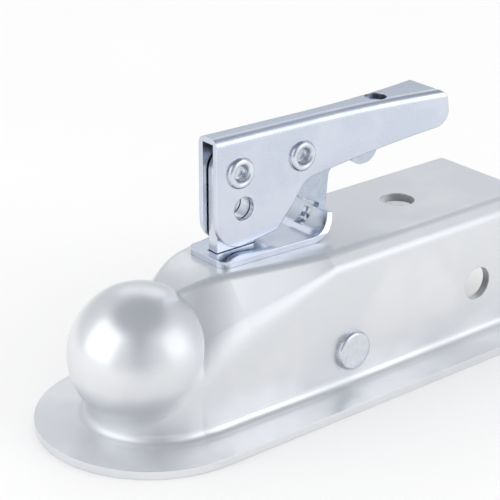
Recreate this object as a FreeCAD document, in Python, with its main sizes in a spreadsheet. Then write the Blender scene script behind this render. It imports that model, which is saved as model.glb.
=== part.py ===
"""Trailer coupling for a channel tongue: pressed housing, ball clamp, draw bolt and trigger latch.

Origin: centre of the ball socket. +X points to the rear, along the tongue, and +Z points up. Millimetres.
"""
import FreeCAD, Part
import math
import os

import Sketcher

# Driving sizes
SIZES = {
    # Ball socket and pressed sheet
    "ball_diameter": 47.6,
    "ball_clearance": 0.4,
    "sheet_thickness": 3.5,
    "skirt_setback": 8.0,
    "skirt_drop": 5.0,
    "skirt_shoulder": 15.0,
    "skirt_blend": 10.0,
    # Flange round the lower edge
    "skirt_depth": 2.4,
    "flange_half_width": 46.0,
    "flange_setback": 6.0,
    "root_radius": 4.0,
    # Channel behind the socket
    "tongue_width": 50.8,
    "tongue_clearance": 0.9,
    "socket_margin": 1.5,
    "channel_rise": 1.4,
    "channel_length": 181.0,
    "bend_width": 5.3,
    "bend_radius": 5.0,
    "shoulder_radius": 18.0,
    "neck_top_half_width": 4.0,
    "neck_drop": 7.2,
    "neck_shoulder": 0.5,
    "rise_place": 19.0,
    "rise_top_half_width": 11.0,
    "rise_drop": 2.3,
    "rise_shoulder": 6.4,
    "brow_place": 25.0,
    "brow_top_half_width": 13.4,
    "brow_drop": 0.6,
    "brow_shoulder": 8.6,
    "ridge_place": 30.5,
    "ridge_top_half_width": 15.2,
    "ridge_shoulder": 10.2,
    "full_section": 72.0,
    "bolt_hole_diameter": 14.3,
    "top_hole_place": 131.6,
    "side_hole_place": 150.3,
    "side_hole_drop": 3.8,
    # Rivet that carries the clamp
    "clamp_pivot_place": 80.4,
    "clamp_pivot_drop": 12.2,
    "clamp_pivot_diameter": 10.0,
    "clamp_pivot_head": 16.5,
    "clamp_pivot_head_height": 2.8,
    # Clearances
    "running_clearance": 0.05,
    "slot_clearance": 0.5,
    "side_clearance": 0.4,
    "seat_clearance": 0.1,
    # Latch plate
    "latch_place": 44.2,
    "plate_thickness": 2.8,
    "plate_front_reach": 13.2,
    "plate_half_width": 11.2,
    "plate_corner": 4.2,
    "plate_flat_reach": 29.8,
    "lip_half_width": 13.6,
    "lip_top_half_width": 10.2,
    "lip_radius": 9.5,
    "lip_angle": 78.0,
    "lip_hole_half_width": 2.4,
    "lip_hole_height": 5.6,
    "lip_hole_lift": 0.7,
    # Draw bolt
    "blade_thickness": 5.0,
    "blade_width": 18.0,
    "blade_depth": 13.0,
    "blade_taper": 6.0,
    "shank_diameter": 10.0,
    "shank_spare": 3.0,
    "washer_diameter": 16.0,
    "washer_thickness": 2.0,
    "nut_across_flats": 17.0,
    "nut_height": 8.4,
    # Clamp
    "clamp_top": 0.0,
    "clamp_lift": 0.6,
    "clamp_half_width": 17.5,
    "clamp_top_half_width": 13.0,
    "clamp_wall": 4.0,
    "clamp_front": 13.6,
    "clamp_gap": 0.4,
    "clamp_back_reach": 15.5,
    "clamp_hole_length": 16.0,
    "clamp_hole_width": 11.6,
    "clamp_arm_half_width": 9.0,
    "clamp_eye_wall": 4.0,
    # Clamp spring
    "spring_wire": 2.2,
    "spring_diameter": 24.0,
    "spring_turns": 4.5,
    "seat_thickness": 1.5,
    "seat_rim": 2.5,
    # Lever
    "lever_sheet": 2.2,
    "lever_half_width": 5.4,
    "lever_end_half_width": 11.4,
    "lever_pivot_height": 31.6,
    "lever_front": 11.2,
    "lever_top": 15.2,
    "lever_cam_front": 31.4,
    "lever_cam_rear": 27.7,
    "lever_cam_length": 18.3,
    "lever_cam_corner": 11.4,
    "lever_cam_heel": 4.0,
    "lever_heel_run": 8.0,
    "lever_heel_rise": 8.8,
    "lever_flare": 38.0,
    "lever_reach": 104.8,
    "lever_end_drop": 2.4,
    "lever_under": 10.2,
    "lever_end_under": 1.7,
    "lever_arch_radius": 9.0,
    "lever_end_radius": 6.5,
    "lever_end_crown": 4.0,
    "lever_fold_radius": 3.4,
    "lever_hole_place": 73.5,
    "lever_hole_diameter": 9.0,
    "lever_rivet_diameter": 8.0,
    "lever_rivet_head": 12.6,
    "lever_rivet_head_height": 1.9,
    "lever_rivet_bore": 6.0,
    "lever_rivet_bore_depth": 3.0,
    "pin_hole_diameter": 9.5,
    "pin_hole_offset": 1.9,
    "pin_hole_drop": 15.0,
    # Trigger
    "trigger_thickness": 3.0,
    "trigger_place": 30.6,
    "trigger_drop": 0.2,
    "trigger_boss": 7.5,
    "trigger_boss_rise": 5.2,
    "trigger_front_run": 2.6,
    "trigger_front_drop": 19.3,
    "trigger_heel_drop": 1.9,
    "trigger_arm_drop": 4.7,
    "trigger_arm_dip": 1.5,
    "trigger_arm_reach": 43.5,
    "trigger_tab_start": 28.2,
    "trigger_tab_drop": 12.8,
    "trigger_tab_radius": 7.2,
    "trigger_leg_drop": 12.0,
    "trigger_leg_rear": 17.2,
    "trigger_leg_width": 4.8,
    "trigger_leg_lean": 2.0,
    "trigger_toe_height": 2.0,
    "trigger_toe_reach": 1.5,
    "trigger_spring_wire": 0.9,
    "trigger_spring_radius": 5.2,
    "trigger_spring_arm": 22.0,
    "trigger_washer_diameter": 13.0,
}

FULL_TURN = 360.0
HEX_SIDES = 6
HEAD_SLOPE = 0.65
SLICE = 1e-3

doc = FreeCAD.newDocument("TrailerCoupling")
sheet = doc.addObject("Spreadsheet::Sheet", "Sizes")
for row, (alias, number) in enumerate(SIZES.items(), start=1):
    sheet.set(f"A{row}", alias)
    sheet.set(f"B{row}", str(number))
    sheet.setAlias(f"B{row}", alias)
doc.recompute()


class Term:
    """A size with its number and the sheet expression that gives it."""

    def __init__(self, text, value):
        self.text = text
        self.value = value

    def __add__(self, other):
        other = term(other)
        return Term(f"({self.text} + {other.text})", self.value + other.value)

    def __sub__(self, other):
        other = term(other)
        return Term(f"({self.text} - {other.text})", self.value - other.value)

    def __mul__(self, other):
        other = term(other)
        return Term(f"({self.text} * {other.text})", self.value * other.value)

    def __truediv__(self, other):
        other = term(other)
        return Term(f"({self.text} / {other.text})", self.value / other.value)

    def __neg__(self):
        return Term(f"(-1 * {self.text})", -self.value)

    def root(self):
        return Term(f"sqrt({self.text})", math.sqrt(self.value))

    def at_least(self, other):
        return Term(f"max({self.text}; {other.text})", max(self.value, other.value))


def term(number):
    """Give a plain number the form of a size."""
    return number if isinstance(number, Term) else Term(repr(float(number)), float(number))


def size(alias):
    """Look up one driving size in the sheet."""
    return Term(f"Sizes.{alias}", float(sheet.get(alias)))


def bind(obj, prop, value):
    """Bind a property to a size."""
    obj.setExpression(prop, term(value).text)


def new_body(label):
    """Start a sub-part."""
    body = doc.addObject("PartDesign::Body", label)
    body.Label = label
    return body


def new_sketch(body, role, name, offset=0.0):
    """Start a sketch on one of the body's origin planes, moved along its normal."""
    sketch = body.newObject("Sketcher::SketchObject", name)
    plane = [item for item in body.Origin.OriginFeatures if item.Role == role][0]
    sketch.AttachmentSupport = [(plane, "")]
    sketch.MapMode = "FlatFace"
    sketch.AttachmentOffset = FreeCAD.Placement(FreeCAD.Vector(0, 0, term(offset).value), FreeCAD.Rotation())
    bind(sketch, "AttachmentOffset.Base.z", offset)
    return sketch


def fix_point(sketch, geometry, vertex, place):
    """Hold one point of a sketch at a place given by two sizes."""
    for kind, value in zip(("DistanceX", "DistanceY"), place):
        index = sketch.addConstraint(Sketcher.Constraint(kind, geometry, vertex, term(value).value))
        bind(sketch, f"Constraints[{index}]", value)


def vector(place):
    """Numbers of a place in a sketch."""
    return FreeCAD.Vector(term(place[0]).value, term(place[1]).value, 0)


def add_side(sketch, start, end, arc):
    """Draw one side of an outline, and tell which of its ends comes first."""
    if arc is None:
        sketch.addGeometry(Part.LineSegment(start, end))
        return 1, 2
    centre, radius = vector(arc[0]), term(arc[1])
    first, last = [math.atan2(point.y - centre.y, point.x - centre.x) for point in (start, end)]
    forward = (last - first) % math.tau < math.pi
    circle = Part.Circle(centre, FreeCAD.Vector(0, 0, 1), radius.value)
    number = sketch.addGeometry(Part.ArcOfCircle(circle, *((first, last) if forward else (last, first))))
    index = sketch.addConstraint(Sketcher.Constraint("Radius", number, radius.value))
    bind(sketch, f"Constraints[{index}]", radius)
    return (1, 2) if forward else (2, 1)


def add_polygon(sketch, places, arcs=None):
    """Draw a closed outline through places, each held by its two sizes; arcs give centre and radius by side."""
    arcs = arcs or {}
    points = [vector(place) for place in places]
    first = sketch.GeometryCount
    count = len(points)
    ends = [add_side(sketch, points[side], points[(side + 1) % count], arcs.get(side)) for side in range(count)]
    for side in range(count):
        following = (side + 1) % count
        sketch.addConstraint(Sketcher.Constraint(
            "Coincident", first + side, ends[side][1], first + following, ends[following][0]))
    for side, place in enumerate(places):
        fix_point(sketch, first + side, ends[side][0], place)


def add_circle(sketch, place, radius):
    """Draw a circle."""
    centre = FreeCAD.Vector(term(place[0]).value, term(place[1]).value, 0)
    number = sketch.addGeometry(Part.Circle(centre, FreeCAD.Vector(0, 0, 1), term(radius).value))
    fix_point(sketch, number, 3, place)
    index = sketch.addConstraint(Sketcher.Constraint("Radius", number, term(radius).value))
    bind(sketch, f"Constraints[{index}]", radius)


def add_axis(sketch, start, end):
    """Draw the line that a revolved outline turns about."""
    number = sketch.addGeometry(Part.LineSegment(vector(start), vector(end)), True)
    fix_point(sketch, number, 1, start)
    fix_point(sketch, number, 2, end)


def rectangle(low, high):
    """Corners of a rectangle, in order."""
    return [(low[0], low[1]), (high[0], low[1]), (high[0], high[1]), (low[0], high[1])]


def pad(body, sketch, length, both_ways=True):
    """Thicken a sketch."""
    feature = body.newObject("PartDesign::Pad", sketch.Name + "Pad")
    feature.Profile = sketch
    feature.Length = term(length).value
    bind(feature, "Length", length)
    feature.Midplane = both_ways
    return feature


def pocket(body, sketch, both_ways=True, reverse=False, width=None):
    """Cut a sketch right through, or only as wide as told."""
    feature = body.newObject("PartDesign::Pocket", sketch.Name + "Cut")
    feature.Profile = sketch
    feature.Midplane = both_ways
    feature.Reversed = reverse
    if width is None:
        feature.Type = 1
    else:
        bind(feature, "Length", width)
    return feature


def revolve(body, sketch, angle=FULL_TURN, reverse=False):
    """Turn a sketch about its own axis line."""
    feature = body.newObject("PartDesign::Revolution", sketch.Name + "Turn")
    feature.Profile = sketch
    feature.ReferenceAxis = (sketch, ["Axis0"])
    feature.Angle = term(angle).value
    bind(feature, "Angle", angle)
    feature.Reversed = reverse
    return feature


def loft(body, kind, sections, ruled=True):
    """Join sections with straight-ruled or with smooth walls."""
    feature = body.newObject(f"PartDesign::{kind}Loft", sections[0].Name + "Loft")
    feature.Profile = sections[0]
    feature.Sections = sections[1:]
    feature.Ruled = ruled
    return feature


def ball(body, kind, radius):
    """Add or cut a ball about the origin."""
    feature = body.newObject(f"PartDesign::{kind}Sphere", f"{kind}Ball")
    bind(feature, "Radius", radius)
    return feature


def post(body, kind, name, radius, low, high, place=0.0):
    """Add or cut an upright cylinder between two heights."""
    feature = body.newObject(f"PartDesign::{kind}Cylinder", name)
    bind(feature, "Radius", radius)
    bind(feature, "Height", high - low)
    bind(feature, "Placement.Base.x", place)
    bind(feature, "Placement.Base.z", low)
    return feature


def round_edges(body, radius, chosen):
    """Round those edges of the body's last feature that the test picks."""
    doc.recompute()
    base = body.Tip
    names = [f"Edge{number}" for number, edge in enumerate(base.Shape.Edges, start=1) if chosen(edge)]
    feature = body.newObject("PartDesign::Fillet", base.Name + "Round")
    feature.Base = (base, names)
    feature.Radius = term(radius).value
    bind(feature, "Radius", radius)
    return feature


def middle(edge):
    """Point halfway along an edge."""
    return edge.valueAt((edge.FirstParameter + edge.LastParameter) / 2)


def across_at(*places):
    """Test for edges that run across the part, along Y, through given X and Z."""
    def chosen(edge):
        ends = edge.Vertexes
        if len(ends) != 2 or edge.BoundBox.XLength > SLICE or edge.BoundBox.ZLength > SLICE:
            return False
        spot = ends[0].Point
        return any(abs(spot.x - term(a).value) < SLICE and abs(spot.z - term(b).value) < SLICE
                   for a, b in places)
    return chosen


# Places that several pieces share
outer_ball = size("ball_diameter") / 2 + size("ball_clearance") + size("sheet_thickness")
inner_ball = size("ball_diameter") / 2 + size("ball_clearance")
flange_top = -(inner_ball + size("skirt_depth"))
flange_bottom = flange_top - size("sheet_thickness")
tongue_inner = size("tongue_width") / 2 + size("tongue_clearance")
channel_inner = tongue_inner.at_least(inner_ball + size("socket_margin"))
channel_outer = channel_inner + size("sheet_thickness")
channel_top = outer_ball + size("channel_rise")
channel_ceiling = channel_top - size("sheet_thickness")
latch_x = size("latch_place")
plate_top = channel_top + size("plate_thickness")
pivot_z = plate_top + size("lever_pivot_height")
clamp_x = size("clamp_pivot_place")
clamp_z = -size("clamp_pivot_drop")
trigger_x = latch_x + size("trigger_place")
trigger_z = pivot_z - size("trigger_drop")
blade_half = size("blade_width") / 2
blade_side = size("blade_thickness") / 2
lever_inner = size("lever_half_width") - size("lever_sheet")
washer_top = size("clamp_top") - size("clamp_wall") - size("seat_clearance")
washer_bottom = washer_top - size("washer_thickness")
nut_bottom = washer_bottom - size("nut_height")
shank_end = nut_bottom - size("shank_spare")
blade_bottom = channel_top - size("blade_depth")
pin_x = latch_x + size("pin_hole_offset")
pin_z = pivot_z - size("pin_hole_drop")


def mirrored(places):
    """The same places on the other side of the middle plane."""
    return [(-across, up) for across, up in places]


def channel_section(body, name, inset, place, half, top_half, top, shoulder, low_radius):
    """One cross-section of the channel, drawn in by the inset, with bends beside its sloped shoulders."""
    across = half - top_half
    rise = top - shoulder
    slope = (across * across + rise * rise).root()
    low_share = across / (slope + rise)
    high_share = rise / (slope + across)
    low_bend = low_radius - inset
    high_bend = size("bend_radius") - inset
    side = half - inset
    ceiling = top - inset
    low = shoulder - inset * low_share
    high = top_half - inset * high_share
    low_cut = low_bend * low_share
    high_cut = high_bend * high_share
    right = [
        (side, low - low_cut),
        (side - low_cut * across / slope, low + low_cut * rise / slope),
        (high + high_cut * across / slope, ceiling - high_cut * rise / slope),
        (high - high_cut, ceiling),
    ]
    centres = [(side - low_bend, low - low_cut), (high - high_cut, ceiling - high_bend)]
    left_low, left_high = mirrored(centres)
    sketch = new_sketch(body, "YZ_Plane", name, place)
    add_polygon(
        sketch,
        [(-side, flange_bottom), (side, flange_bottom), *right, *mirrored(reversed(right))],
        {2: (centres[0], low_bend), 4: (centres[1], high_bend),
         6: (left_high, high_bend), 8: (left_low, low_bend)})
    return sketch


def neck_stations():
    """Shape of the neck's cross-sections, from the socket to the ridge."""
    soft = size("shoulder_radius")
    half = (outer_ball + channel_outer) / 2
    stations = [(size("skirt_setback"), outer_ball, size("neck_top_half_width"),
                 channel_top - size("neck_drop"), size("neck_shoulder"), soft)]
    for name in ("rise", "brow"):
        stations.append((size(f"{name}_place"), half, size(f"{name}_top_half_width"),
                         channel_top - size(f"{name}_drop"), size(f"{name}_shoulder"), soft))
    ridge = (size("ridge_place"), half, size("ridge_top_half_width"), channel_top, size("ridge_shoulder"), soft)
    return [*stations, ridge]


def full_stations():
    """Shape of the straight channel's cross-sections, at both its ends."""
    bend = size("bend_radius")
    width = size("bend_width")
    section = (channel_outer, channel_outer - width, channel_top, channel_top - width, bend)
    return [(size("full_section"), *section), (size("channel_length"), *section)]


def add_channel(body, kind, name, inset):
    """Add or cut the neck, with smooth walls, and the straight-ruled channel behind it."""
    neck, full = [
        [channel_section(body, f"{name}{part}{number}", inset, *station)
         for number, station in enumerate(stations)]
        for part, stations in (("Neck", neck_stations()), ("Full", full_stations()))
    ]
    loft(body, kind, [neck[-1], *full])
    loft(body, kind, neck, ruled=False)


def make_housing():
    """Pressed housing: ball socket, channel and flange in one sheet."""
    body = new_body("coupler_housing")
    add_channel(body, "Additive", "Outer", term(0))
    ball(body, "Additive", outer_ball)
    skirt_x = size("skirt_setback")
    shoulder = size("skirt_shoulder")
    shoulder_x = skirt_x + outer_ball - shoulder
    wall_top = -size("skirt_drop")
    skirt = new_sketch(body, "XZ_Plane", "Skirt")
    add_axis(skirt, (skirt_x, flange_bottom), (skirt_x, wall_top))
    add_polygon(skirt, [
        (skirt_x, flange_bottom), (skirt_x + outer_ball, flange_bottom), (skirt_x + outer_ball, wall_top),
        (shoulder_x, wall_top + shoulder), (skirt_x, wall_top + shoulder),
    ], {2: ((shoulder_x, wall_top), shoulder)})
    revolve(body, skirt)

    def under_ball(edge):
        spot = middle(edge)
        on_ball = abs(spot.Length - outer_ball.value) < SLICE
        on_skirt = abs(math.hypot(spot.x - skirt_x.value, spot.y) - outer_ball.value) < SLICE
        return on_ball and on_skirt and spot.z < 0

    round_edges(body, size("skirt_blend"), under_ball)
    rim = new_sketch(body, "XY_Plane", "Rim", flange_bottom)
    add_circle(rim, (size("flange_setback"), 0), size("flange_half_width"))
    pad(body, rim, size("sheet_thickness"), both_ways=False)
    sides = new_sketch(body, "XY_Plane", "Sides", flange_bottom)
    add_polygon(sides, rectangle(
        (size("flange_setback"), -size("flange_half_width")),
        (size("channel_length"), size("flange_half_width"))))
    pad(body, sides, size("sheet_thickness"), both_ways=False)

    def at_root(edge):
        spot = middle(edge)
        level = edge.BoundBox.ZLength < SLICE and abs(spot.z - flange_top.value) < SLICE
        inside = abs(spot.y) < channel_outer.value + SLICE
        along = edge.BoundBox.XLength > SLICE
        return level and inside and along and spot.x > -outer_ball.value

    round_edges(body, size("root_radius"), at_root)
    ball(body, "Subtractive", inner_ball)
    post(body, "Subtractive", "SkirtBore", inner_ball, flange_bottom, term(0), skirt_x)
    add_channel(body, "Subtractive", "Inner", size("sheet_thickness"))
    top_hole = new_sketch(body, "XY_Plane", "TopHole")
    add_circle(top_hole, (size("top_hole_place"), 0), size("bolt_hole_diameter") / 2)
    pocket(body, top_hole, both_ways=False, reverse=True)
    slot = new_sketch(body, "XY_Plane", "BladeSlot")
    add_polygon(slot, blade_slot(size("slot_clearance") * 2))
    pocket(body, slot, both_ways=False, reverse=True)
    side_holes = new_sketch(body, "XZ_Plane", "SideHoles")
    add_circle(side_holes, (size("side_hole_place"), -size("side_hole_drop")), size("bolt_hole_diameter") / 2)
    add_circle(side_holes, (clamp_x, clamp_z), size("clamp_pivot_diameter") / 2)
    pocket(body, side_holes)
    return body


def blade_slot(gap):
    """Outline of a slot that lets the draw bolt's blade through."""
    along = blade_half + gap
    across = blade_side + gap
    return rectangle((latch_x - along, -across), (latch_x + along, across))


def make_pivot_rivet():
    """Cross rivet with a low head on each side wall."""
    body = new_body("pivot_rivet")
    sketch = new_sketch(body, "XY_Plane", "RivetOutline", clamp_z)
    head = size("clamp_pivot_head") / 2
    shank = size("clamp_pivot_diameter") / 2
    wall = channel_outer
    tip = wall + size("clamp_pivot_head_height")
    add_axis(sketch, (clamp_x, -tip), (clamp_x, tip))
    edge = head - size("clamp_pivot_head_height") * HEAD_SLOPE
    add_polygon(sketch, [
        (clamp_x, -tip), (clamp_x + edge, -tip), (clamp_x + head, -wall), (clamp_x + shank, -wall),
        (clamp_x + shank, wall), (clamp_x + head, wall), (clamp_x + edge, tip), (clamp_x, tip),
    ])
    revolve(body, sketch)
    return body


def make_rivet(label, place_x, place_z):
    """Semi-tubular rivet of the lever: a low head on one side and a rolled, hollow end on the other."""
    body = new_body(label)
    sketch = new_sketch(body, "XY_Plane", "RivetOutline", place_z)
    head = size("lever_rivet_head") / 2
    shank = size("lever_rivet_diameter") / 2
    wall = size("lever_half_width")
    tip = wall + size("lever_rivet_head_height")
    bore = size("lever_rivet_bore") / 2
    floor = -tip + size("lever_rivet_bore_depth")
    edge = head - size("lever_rivet_head_height") * HEAD_SLOPE
    add_axis(sketch, (place_x, -tip), (place_x, tip))
    add_polygon(sketch, [
        (place_x, floor), (place_x + bore, floor), (place_x + bore, -tip), (place_x + edge, -tip),
        (place_x + head, -wall), (place_x + shank, -wall), (place_x + shank, wall), (place_x + head, wall),
        (place_x + edge, tip), (place_x, tip),
    ])
    revolve(body, sketch)
    return body


def make_latch_plate():
    """Plate on the ridge, slotted for the blade, with a pierced lip curled up at the rear."""
    body = new_body("latch_plate")
    front = latch_x - size("plate_front_reach")
    rear = latch_x + size("plate_flat_reach")
    flat = new_sketch(body, "XY_Plane", "Flat", channel_top)
    half = size("plate_half_width")
    lip = size("lip_half_width")
    add_polygon(flat, [(front, -half), (rear, -lip), (rear, lip), (front, half)])
    pad(body, flat, size("plate_thickness"), both_ways=False)

    def upright(edge):
        return edge.BoundBox.ZLength > SLICE and abs(middle(edge).x - front.value) < SLICE

    round_edges(body, size("plate_corner"), upright)
    curl = new_sketch(body, "YZ_Plane", "Curl", rear)
    centre = plate_top + size("lip_radius")
    add_axis(curl, (-lip, centre), (lip, centre))
    add_polygon(curl, rectangle((-lip, channel_top), (lip, plate_top)))
    revolve(body, curl, size("lip_angle"), reverse=True)
    taper = new_sketch(body, "YZ_Plane", "Taper", rear)
    clear = lip + size("plate_thickness")
    side = [(lip, plate_top), (clear, plate_top), (clear, centre), (size("lip_top_half_width"), centre)]
    add_polygon(taper, side)
    add_polygon(taper, mirrored(side))
    pocket(body, taper, both_ways=False, reverse=True)
    window = new_sketch(body, "YZ_Plane", "Window", rear)
    low = plate_top + size("lip_hole_lift")
    add_polygon(window, rectangle(
        (-size("lip_hole_half_width"), low), (size("lip_hole_half_width"), low + size("lip_hole_height"))))
    pocket(body, window, both_ways=False, reverse=True)
    slot = new_sketch(body, "XY_Plane", "BladeSlot")
    add_polygon(slot, blade_slot(size("slot_clearance")))
    pocket(body, slot, both_ways=False, reverse=True)
    return body


def make_draw_bolt():
    """Draw bolt: a flat blade with two holes, tapered into a round shank."""
    body = new_body("draw_bolt")
    outline = new_sketch(body, "XZ_Plane", "Blade")
    top = pivot_z + blade_half
    shank = size("shank_diameter") / 2
    add_polygon(outline, [
        (latch_x - blade_half, top), (latch_x - blade_half, blade_bottom + size("blade_taper")),
        (latch_x - shank, blade_bottom), (latch_x + shank, blade_bottom),
        (latch_x + blade_half, blade_bottom + size("blade_taper")), (latch_x + blade_half, top),
    ])
    pad(body, outline, size("blade_thickness"))
    crown = blade_half - size("slot_clearance")
    round_edges(body, crown, across_at((latch_x - blade_half, top), (latch_x + blade_half, top)))
    post(body, "Additive", "Shank", shank, shank_end, blade_bottom + size("blade_taper") / 2, latch_x)
    holes = new_sketch(body, "XZ_Plane", "Holes")
    add_circle(holes, (latch_x, pivot_z), size("lever_rivet_diameter") / 2 + size("running_clearance"))
    add_circle(holes, (pin_x, pin_z), size("pin_hole_diameter") / 2)
    pocket(body, holes)
    return body


def make_ring(label, outer, inner, low, high):
    """Flat ring about the draw bolt."""
    body = new_body(label)
    sketch = new_sketch(body, "XY_Plane", "Ring", low)
    add_circle(sketch, (latch_x, 0), outer)
    add_circle(sketch, (latch_x, 0), inner)
    pad(body, sketch, high - low, both_ways=False)
    return body


def make_nut():
    """Hexagon lock nut on the shank."""
    body = new_body("adjusting_nut")
    sketch = new_sketch(body, "XY_Plane", "Hexagon", nut_bottom)
    corner = size("nut_across_flats") / 2 / math.cos(math.pi / HEX_SIDES)
    turns = [math.tau * number / HEX_SIDES for number in range(HEX_SIDES)]
    add_polygon(sketch, [(latch_x + corner * math.cos(turn), corner * math.sin(turn)) for turn in turns])
    add_circle(sketch, (latch_x, 0), size("shank_diameter") / 2)
    pad(body, sketch, size("nut_height"), both_ways=False)
    return body


def make_clamp():
    """Pressed clamp: a bell with a round face for the ball, and an arm with an eye on the rivet."""
    body = new_body("ball_clamp")
    front = size("clamp_front")
    back = latch_x + size("clamp_back_reach")
    top = size("clamp_top")
    bottom = flange_top + size("clamp_lift")
    wall = size("clamp_wall")
    eye = size("clamp_pivot_diameter") / 2 + size("clamp_eye_wall")
    knee = latch_x - size("nut_across_flats") / 2
    wide = size("clamp_half_width")
    narrow = size("clamp_top_half_width")
    saddle = new_sketch(body, "XY_Plane", "Saddle", bottom)
    add_polygon(saddle, rectangle((front, -wide), (back, wide)))
    crown = new_sketch(body, "XY_Plane", "Crown", top)
    add_polygon(crown, rectangle((inner_ball, -narrow), (back, narrow)))
    loft(body, "Additive", [saddle, crown])
    heel = new_sketch(body, "XZ_Plane", "Heel")
    add_polygon(heel, [
        (knee, bottom), (back, clamp_z - eye / 2), (back + wall, clamp_z - eye / 2),
        (back + wall, bottom - wall), (knee, bottom - wall),
    ])
    pocket(body, heel)

    def top_edge(edge):
        spot = middle(edge)
        along = edge.BoundBox.XLength > wall.value and edge.BoundBox.YLength < SLICE
        return along and abs(spot.z - top.value) < SLICE

    round_edges(body, wall, top_edge)
    mouth = new_sketch(body, "XY_Plane", "Mouth", bottom - wall)
    add_polygon(mouth, rectangle((front + wall * 2, wall - wide), (back - wall, wide - wall)))
    vault = new_sketch(body, "XY_Plane", "Vault", top - wall)
    add_polygon(vault, rectangle((inner_ball + wall, wall - narrow), (back - wall, narrow - wall)))
    loft(body, "Subtractive", [mouth, vault])
    arm = new_sketch(body, "XZ_Plane", "Arm")
    add_polygon(arm, [
        (back - wall, top), (back - wall, top - wall), (clamp_x, clamp_z), (clamp_x, clamp_z + eye),
    ])
    pad(body, arm, size("clamp_arm_half_width") * 2)
    knuckle = new_sketch(body, "XZ_Plane", "Knuckle")
    add_circle(knuckle, (clamp_x, clamp_z), eye)
    pad(body, knuckle, size("clamp_arm_half_width") * 2)
    bore = new_sketch(body, "XZ_Plane", "EyeBore")
    add_circle(bore, (clamp_x, clamp_z), size("clamp_pivot_diameter") / 2 + size("running_clearance"))
    pocket(body, bore)
    hole = new_sketch(body, "XY_Plane", "ShankHole")
    length = size("clamp_hole_length") / 2
    width = size("clamp_hole_width") / 2
    add_polygon(hole, rectangle((latch_x - length, -width), (latch_x + length, width)))
    pocket(body, hole, both_ways=False, width=wall * 2)
    ball(body, "Subtractive", inner_ball + size("clamp_gap"))
    return body


def corner_arc(start, corner, end, radius):
    """Both ends and the centre of an arc that rounds the corner between two straight sides."""
    first, second = [direction(corner, place) for place in (start, end)]
    cosine = first[0] * second[0] + first[1] * second[1]
    reach = radius * ((cosine + 1) / (-cosine + 1)).root()
    before = tuple(spot + way * reach for spot, way in zip(corner, first))
    after = tuple(spot + way * reach for spot, way in zip(corner, second))
    centre = tuple(
        spot + (one + two) * reach / (cosine + 1) for spot, one, two in zip(corner, first, second))
    return before, after, centre


def direction(start, end):
    """Way from one place to another, one unit long."""
    across = end[0] - start[0]
    up = end[1] - start[1]
    length = (across * across + up * up).root()
    return across / length, up / length


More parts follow.
